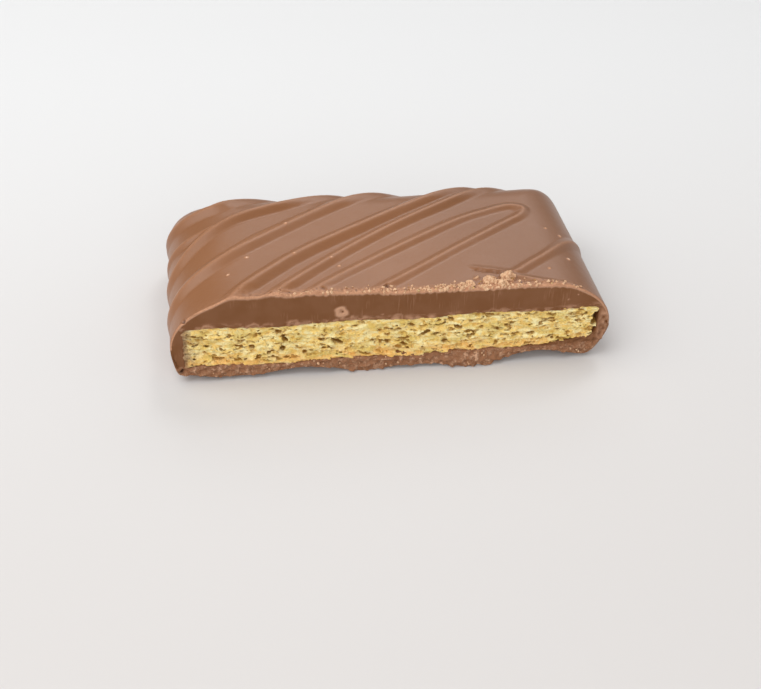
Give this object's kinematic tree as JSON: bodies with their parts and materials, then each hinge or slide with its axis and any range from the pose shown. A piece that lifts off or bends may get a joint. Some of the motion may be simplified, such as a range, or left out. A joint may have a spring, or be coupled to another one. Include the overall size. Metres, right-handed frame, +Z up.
{
  "type": "chocolate coated graham cracker half",
  "caption": "Half of a square graham cracker under milk chocolate with drizzled strings, cut so that the biscuit shows along one side.",
  "frame": {"origin": "on the floor, under the middle of the piece's bounding box", "axes": "+X along the cut face, +Y from the cut face to the far side, +Z up from the base"},
  "size_m": [0.0666, 0.0357, 0.0153],
  "materials": {
    "milk_chocolate": "satin set chocolate, smooth on the cut",
    "baked_biscuit": "dull, porous, golden crumb"
  },
  "bodies": {
    "root": {"chocolate_coating": "milk_chocolate", "graham_cracker": "baked_biscuit"}
  },
  "joints": []
}
